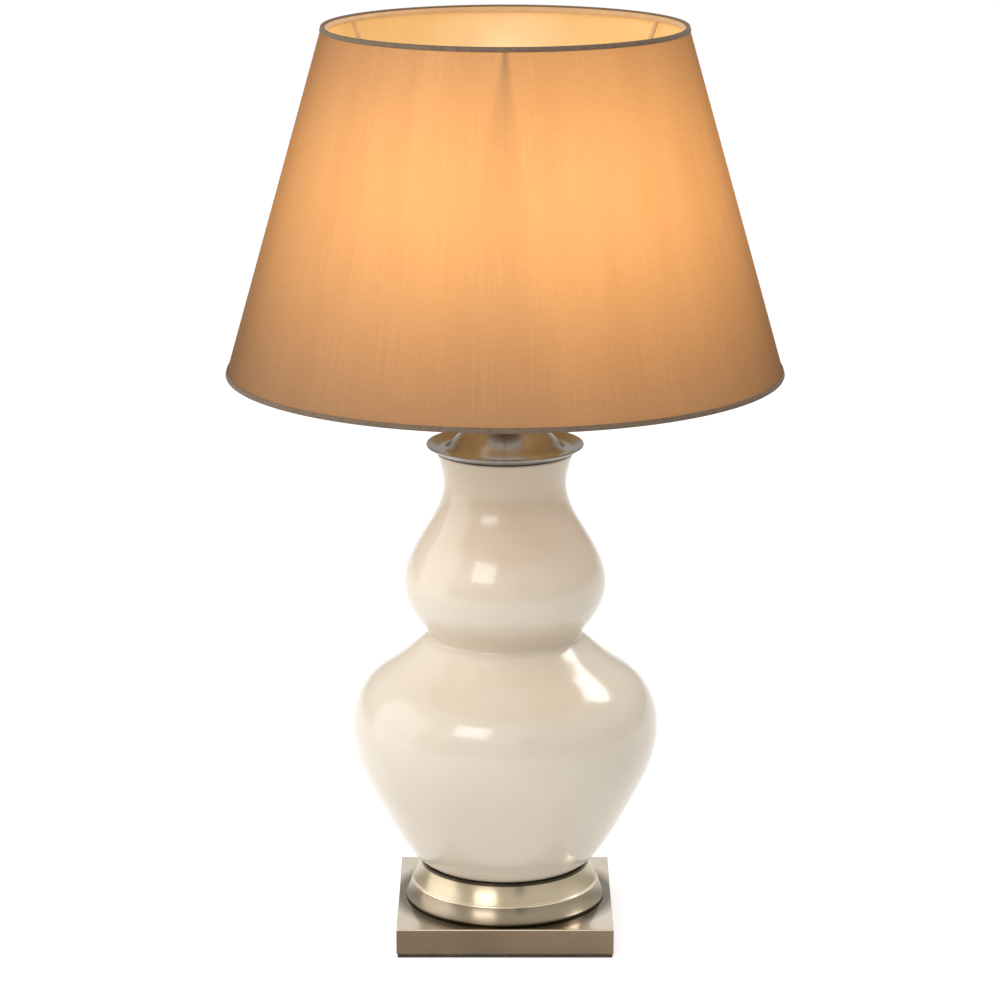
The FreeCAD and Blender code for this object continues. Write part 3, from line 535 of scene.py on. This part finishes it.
# %% [markdown]
# ## Dress the frame
# Each solid of the frame keeps its shape and takes the finish of its slot in the record.

# %% put the finishes on the frame
slot_of = {part["node"]: part["material_slot"] for part in frame["record"]["subparts"]}
for name, node in nodes.items():
    node.data.materials.clear()
    node.data.materials.append(finishes[slot_of[name]])
print("dressed", len(slot_of), "nodes")

# %% [markdown]
# ## Gourd body
# The body was cast in one piece: a lower bulb and an upper bulb that meet in a sharp
# crease. A smooth curve goes through a few measured points of each bulb. Here the curve
# is solved as a cubic spline, which gives the same outline as the frame's solid, and is
# then spun finely, so that the glaze reflects without facets.

# %% a smooth curve through measured points
def smooth_outline(knots, start, end, pieces=14):
    """Points on a cubic spline through the knots with given end directions."""
    spans = [math.dist(a, b) for a, b in zip(knots, knots[1:])]
    slopes = []
    for axis in (0, 1):
        values = [k[axis] for k in knots]
        first = start[axis] / math.hypot(*start)
        last = end[axis] / math.hypot(*end)
        slopes.append(spline_slopes(values, spans, first, last))
    points = []
    for i, span in enumerate(spans):
        for step in range(pieces):
            points.append(tuple(hermite(knots[i][axis], knots[i + 1][axis], slopes[axis][i],
                                        slopes[axis][i + 1], span, step / pieces) for axis in (0, 1)))
    return points + [tuple(knots[-1])]


def hermite(a, b, slope_a, slope_b, span, t):
    return ((1 + 2 * t) * (1 - t) ** 2 * a + t * (1 - t) ** 2 * span * slope_a
            + t * t * (3 - 2 * t) * b - t * t * (1 - t) * span * slope_b)


# %% the slopes that make the spline smooth
RELAXATIONS = 200


def spline_slopes(values, spans, first, last):
    """Solves for the slope at each knot by relaxing each against its neighbours."""
    slopes = [first] + [0.0] * (len(values) - 2) + [last]
    for _ in range(RELAXATIONS):
        for i in range(1, len(values) - 1):
            before, after = spans[i - 1], spans[i]
            pull = 3 * ((values[i] - values[i - 1]) * after / before
                        + (values[i + 1] - values[i]) * before / after)
            slopes[i] = (pull - after * slopes[i - 1] - before * slopes[i + 1]) / (2 * (before + after))
    return slopes


# %% spin the gourd
GOURD_FOOT, CLAY_WALL = 46.0, 6.0
LOWER_BULB = [(57.0, 5.2), (70.5, 14.8), (91.0, 48.0), (113.5, 116.5),
              (102.3, 143.0), (80.5, 160.0), (55.8, 180.3)]
UPPER_BULB = [(55.8, 180.3), (68.1, 199.5), (74.4, 217.2), (64.1, 251.0), (45.0, 294.0), (50.2, 318.5)]
UNDERSIDE = [(8.0, 0.0), (53.4, 0.0), (54.0, 0.6), (54.0, 5.0)]

lower_outline = smooth_outline(LOWER_BULB, (1.0, 0.0), (-1.5, 1.0))
upper_outline = smooth_outline(UPPER_BULB, (0.45, 1.0), (0.36, 1.0))
outline = UNDERSIDE + lower_outline + upper_outline[1:]
gourd_mesh = spun([(r, z + GOURD_FOOT) for r, z in outline], 192)
gourd = piece(gourd_mesh, "gourd", "stand", "cream_glaze", "gourd_body")
clay = gourd.modifiers.new("wall", "SOLIDIFY")
clay.thickness = CLAY_WALL * MM
clay.offset = -1.0
print("gourd height", outline[-1][1], "mm")

# %% [markdown]
# ## Ring and cap
# The ring under the body is turned from a casting: a thin foot flange, a lower band, a
# narrow shoulder that catches the light, and an upper band that ends in a rounded lip.
# Its section is drawn once as a closed line and spun. The rounded corners are real
# geometry, because they are what draws the bright lines on polished metal.

# %% spin the ring
RING_FOOT, RING_STEPS = 22.0, 256
ring_outside = ([(68.2, 0.0), (74.7, 0.0)] + rounded((73.2, 0.9), 1.5, 0, 90)
                + rounded((68.75, 12.75), 1.2, 10, 90) + [(68.5, 14.1)]
                + rounded((62.0, 28.4), 0.6, 0, 90))
ring_inside = [(60.8, 29.0), (60.8, 22.0), (16.0, 22.0), (16.0, 18.0), (58.3, 18.0), (68.2, 9.0)]
ring_mesh = spun([(r, z + RING_FOOT) for r, z in ring_outside + ring_inside], RING_STEPS, closed=True)
ring = piece(ring_mesh, "ring", "stand", "ring_nickel", "pedestal_ring")

# %% [markdown]
# The cap is spun from one sheet of metal: an upturned rim, a flat trough that lies on
# the body's mouth, and a flared cone up to the collar. The cone is a smooth curve, and
# the lower face is the upper one moved by the thickness of the sheet.

# %% spin the cap
CAP_FOOT, CAP_SHEET = 366.0, 1.4
cone = smooth_outline([(45.5, 1.4), (38.0, 7.4), (13.0, 31.0)], (-1.0, 0.0), (-0.3, 1.0))
cap_over = [(57.05, 5.05), (51.0, 1.4)] + cone
cap_under = beside(cap_over, -CAP_SHEET)[:-1] + [(11.6, 29.6)]
rim_edge = [(57.5, 5.0), (57.75, 4.5), (57.75, 4.2)]
cap_hole = [(5.2, 31.0), (5.2, 29.6)]
cap_section = rim_edge[::-1] + cap_over + cap_hole + cap_under[::-1]
cap_mesh = spun([(r, z + CAP_FOOT) for r, z in cap_section], RING_STEPS, closed=True)
cap = piece(cap_mesh, "cap", "stand", "cap_nickel", "vase_cap")

# %% [markdown]
# ## Shade cloth
# The cloth is one sheet, rolled into a cone and lapped at the back. It is spun from a
# straight line with many rows, so that it carries the UV map for the threads and the
# light of each point. Its flat cut is a ring sector, and its area is the cone's slanted
# side.

# %% roll the cloth
SHADE_BOTTOM, SHADE_RISE = 424.5, 252.5
TOP_RADIUS, BOTTOM_RADIUS = 131.0, 203.0
SLANT = math.hypot(SHADE_RISE, BOTTOM_RADIUS - TOP_RADIUS)
LEAN = math.atan2(BOTTOM_RADIUS - TOP_RADIUS, SHADE_RISE)


def on_shade(down, inwards):
    """Radius and height of a point: down the slope from the top edge, and in from the cloth."""
    return (TOP_RADIUS + down * math.sin(LEAN) - inwards * math.cos(LEAN),
            SHADE_BOTTOM + SHADE_RISE - down * math.cos(LEAN) - inwards * math.sin(LEAN))


def map_cloth(bm):
    """U is the way round in metres at the middle of the shade, V the height up the slope."""
    middle = (TOP_RADIUS + BOTTOM_RADIUS) / 2 * MM
    layer = bm.loops.layers.uv.new("cloth")
    for face in bm.faces:
        centre = face.calc_center_median()
        side = math.atan2(-centre.x, -centre.y)
        for loop in face.loops:
            place = loop.vert.co
            turn = math.atan2(-place.x, -place.y)
            turn += math.tau * round((side - turn) / math.tau)
            loop[layer].uv = (turn * middle, place.z)


# %% [markdown]
# The light on a point of the cloth is what a small lamp at the bulb's bright spot would
# give it: less with distance, less at a slant. An arm of the frame hides a strip of the
# glowing globe, and the share of the globe's disc under that strip is the shadow. Close
# to the cloth the strip is wide and the shadow dark, further away it is faint and broad.
# The liner scatters the light on its way, so even the darkest shadow keeps half of it.

# %% light from the bulb
HOT_SPOT = Vector((2.5, 0.0, 535.0))
GLOBE = Vector((2.5, 0.0, 512.0))
GLOBE_RADIUS = 17.0
SHADOW_DEPTH = 0.5
ARM_RADIUS = 1.8
WIDEST_SHADOW = math.cos(math.radians(45))
ARM_ENDS = (Vector((0.0, -31.4, 436.3)), Vector((0.0, -128.3, 673.4)))
OUTWARDS = (math.cos(LEAN), math.sin(LEAN))
BRIGHTEST = 3.63e-5
FALL_OFF = 1.15


def direct_light(point):
    ray = point - HOT_SPOT
    out = point.xy.normalized()
    slant = (ray.x * out.x + ray.y * out.y) * OUTWARDS[0] + ray.z * OUTWARDS[1]
    return max(slant / ray.length ** 3 / BRIGHTEST, 0.0) ** FALL_OFF


def disc_part(x):
    """The part of a disc of radius 1 to the left of x, as a share from -0.5 to 0.5."""
    x = max(-1.0, min(1.0, x))
    return (x * math.sqrt(1 - x * x) + math.asin(x)) / math.pi


def hidden_share(point, foot, head):
    """How much of the globe one arm hides from a point of the cloth."""
    sight, arm = GLOBE - point, head - foot
    across = sight.cross(arm).normalized()
    miss = (foot - point).dot(across)
    along = (foot + across * -miss - point).cross(arm).length / sight.cross(arm).length
    if not 0.0 < along < 1.0:
        return 0.0
    middle, half = miss / along / GLOBE_RADIUS, ARM_RADIUS / along / GLOBE_RADIUS
    return disc_part(middle + half) - disc_part(middle - half)


# %% store the light on a mesh
def store_glow(bm, share=1.0):
    layer = bm.verts.layers.float.new("glow")
    turns = [Matrix.Rotation(math.radians(angle), 3, "Z") for angle in (0, 120, 240)]
    arms = [[turn @ end for end in ARM_ENDS] for turn in turns]
    for vert in bm.verts:
        point = vert.co / MM
        seen = 1.0
        for foot, head in arms:
            if point.xy.normalized().dot(head.xy.normalized()) > WIDEST_SHADOW:
                seen *= 1.0 - SHADOW_DEPTH * hidden_share(point, foot, head)
        vert[layer] = share * seen * direct_light(point)


# %% spin the cloth
CLOTH_EDGE, CLOTH_INSET, CLOTH_ROWS, CLOTH_STEPS = 0.9, 0.05, 52, 720
rows = [on_shade(CLOTH_EDGE + (SLANT - 2 * CLOTH_EDGE) * i / CLOTH_ROWS, CLOTH_INSET)
        for i in range(CLOTH_ROWS + 1)]
cloth_mesh = spun(rows, CLOTH_STEPS)
map_cloth(cloth_mesh)
store_glow(cloth_mesh)
cloth = piece(cloth_mesh, "shade_cloth", "shade", "shade_fabric", "shade_cover")

# %% the lap at the back
LAP_WIDTH, LAP_END, LAP_LIFT, LAP_LIGHT = 9.0, 4.2, 0.35, 0.72


def lap_strip():
    bm = bmesh.new()
    bmesh.ops.create_grid(bm, x_segments=4, y_segments=40, size=0.5)
    for vert in bm.verts:
        r, z = on_shade(LAP_END + (SLANT - 2 * LAP_END) * (vert.co.y + 0.5), -LAP_LIFT)
        turn = vert.co.x * LAP_WIDTH / r
        vert.co = Vector((math.sin(turn) * r, math.cos(turn) * r, z)) * MM
    bmesh.ops.recalc_face_normals(bm, faces=bm.faces)
    return bm


lap_mesh = lap_strip()
map_cloth(lap_mesh)
store_glow(lap_mesh, LAP_LIGHT)
lap = piece(lap_mesh, "shade_lap", "shade", "shade_fabric", "shade_seam")

# %% [markdown]
# ## Folded tape
# A narrow tape is folded over each edge. Its section is a closed loop: one leaf lies
# outside on the cloth, and past the fold the other is tucked in behind the liner, so
# from above only the thin fold shows.

# %% fold the tape
TAPE_LEAF, TAPE_THICK, TAPE_TUCK = 3.8, 0.7, 2.1


def folded_tape(name, edge, sign, replaced):
    """The section gives each corner's distance from the edge and its depth into the shade."""
    section = [(0.5, -TAPE_THICK), (TAPE_LEAF - 0.3, -TAPE_THICK), (TAPE_LEAF, -TAPE_THICK + 0.3),
               (TAPE_LEAF, -0.02), (TAPE_THICK, -0.02), (TAPE_THICK, TAPE_TUCK), (0.4, TAPE_TUCK),
               (0.1, TAPE_TUCK - 0.3), (0.0, 1.2), (0.0, 0.3), (0.1, -0.4)]
    profile = [on_shade(edge + sign * down, inwards) for down, inwards in section]
    return piece(spun(profile, 288, closed=True), name, "shade", "shade_trim", replaced)


top_tape = folded_tape("shade_top_tape", 0, 1, "shade_top_trim")
bottom_tape = folded_tape("shade_bottom_tape", SLANT, -1, "shade_bottom_trim")

# %% [markdown]
# ## Floor and light
# The floor is plain white. A little light of its own, for the camera and for mirror
# reflections only, keeps it white to the far edge, and the lamp's shadow still falls on
# it. The world is a soft grey for the object and white for the camera. Mirror reflections
# see it white overhead and grey low down, as the walls of a studio are. Behind the camera
# a studio is dark, and that is what draws the dark bands on polished metal. Two cards, one
# grey and one nearly black, stand there, and only mirror reflections see them.

# %% rays that show the background
def shows_background(tree):
    """1 for the camera, mirror reflections and glass, 0 for the light on the object."""
    path = tree.nodes.new("ShaderNodeLightPath")
    total = path.outputs["Is Camera Ray"]
    for ray in ("Is Glossy Ray", "Is Transmission Ray"):
        larger = tree.nodes.new("ShaderNodeMath")
        larger.operation = "MAXIMUM"
        tree.links.new(total, larger.inputs[0])
        tree.links.new(path.outputs[ray], larger.inputs[1])
        total = larger.outputs[0]
    return total


# %% floor
def white_floor():
    material, tree, shader = new_finish("floor_white")
    shader.inputs["Base Color"].default_value = (0.86, 0.86, 0.86, 1)
    shader.inputs["Roughness"].default_value = 0.9
    shader.inputs["Specular IOR Level"].default_value = 0.0
    dimmed = tree.nodes.new("ShaderNodeMath")
    dimmed.operation = "MULTIPLY"
    dimmed.inputs[1].default_value = 0.5
    lift = add_node(tree, "ShaderNodeEmission", Color=(1, 1, 1, 1))
    both = tree.nodes.new("ShaderNodeAddShader")
    tree.links.new(shows_background(tree), dimmed.inputs[0])
    tree.links.new(dimmed.outputs[0], lift.inputs["Strength"])
    tree.links.new(shader.outputs[0], both.inputs[0])
    tree.links.new(lift.outputs[0], both.inputs[1])
    tree.links.new(both.outputs[0], tree.nodes["Material Output"].inputs["Surface"])
    return material


floor_mesh = bmesh.new()
bmesh.ops.create_grid(floor_mesh, x_segments=8, y_segments=8, size=15.0)
object_from(floor_mesh, "floor", white_floor())
print("floor laid")

# %% world
world = bpy.data.worlds.new("studio")
bpy.context.scene.world = world
world.use_nodes = True
sky = world.node_tree
rise = sky.nodes.new("ShaderNodeSeparateXYZ")
sky.links.new(sky.nodes.new("ShaderNodeTexCoord").outputs["Generated"], rise.inputs[0])
low_down = add_node(sky, "ShaderNodeMapRange", From_Min=0.12, From_Max=0.40, To_Min=1.0, To_Max=0.0)
sky.links.new(rise.outputs["Z"], low_down.inputs["Value"])
in_mirror = sky.nodes.new("ShaderNodeMath")
in_mirror.operation = "MULTIPLY"
sky.links.new(low_down.outputs["Result"], in_mirror.inputs[0])
sky.links.new(sky.nodes.new("ShaderNodeLightPath").outputs["Is Glossy Ray"], in_mirror.inputs[1])
wall = mixed(sky, in_mirror.outputs[0], (1, 1, 1), (0.50, 0.47, 0.42))
backdrop = mixed(sky, shows_background(sky), (0.60, 0.60, 0.60), wall)
sky.links.new(backdrop, sky.nodes["Background"].inputs["Color"])
print("world set")


# %% cards that only polished surfaces see
def card(name, tone, low_corner, high_corner):
    """An upright card between two opposite corners, with an even light of its own."""
    low, high = Vector(low_corner), Vector(high_corner)
    bm = bmesh.new()
    bmesh.ops.create_grid(bm, x_segments=1, y_segments=1, size=0.5)
    for vert in bm.verts:
        place = low.lerp(high, vert.co.x + 0.5)
        place.z = low.z + (high.z - low.z) * (vert.co.y + 0.5)
        vert.co = place
    material, tree, shader = new_finish(name)
    shader.inputs["Base Color"].default_value = (0, 0, 0, 1)
    shader.inputs["Specular IOR Level"].default_value = 0.0
    shader.inputs["Emission Color"].default_value = (*tone, 1)
    shader.inputs["Emission Strength"].default_value = 1.0
    made = object_from(bm, name, material)
    for kind in ("camera", "diffuse", "transmission", "shadow", "volume_scatter"):
        setattr(made, "visible_" + kind, False)


card("room_card", (0.50, 0.46, 0.40), (-2.6, -3.4, 0.15), (2.6, -3.4, 1.55))
card("dark_card", (0.13, 0.11, 0.09), (0.72, -3.2, 0.6), (1.5, -3.0, 2.1))


# %% lamps of the studio
def softbox(name, place, target, size, power):
    data = bpy.data.lights.new(name, "AREA")
    data.shape = "RECTANGLE"
    data.size, data.size_y = size
    data.energy = power
    lamp = bpy.data.objects.new(name, data)
    lamp.location = place
    lamp.rotation_euler = (Vector(target) - Vector(place)).to_track_quat("-Z", "Y").to_euler()
    bpy.context.scene.collection.objects.link(lamp)


softbox("key", (-0.75, -1.41, 1.42), (0, 0, 0.20), (0.84, 0.70), 11.0)
softbox("rim", (0.93, 0.67, 1.33), (0, 0, 0.20), (0.42, 0.42), 4.5)
softbox("side", (-1.9, 0.1, 0.9), (0, 0, 0.30), (1.8, 1.8), 13.0)
print("lamps set")
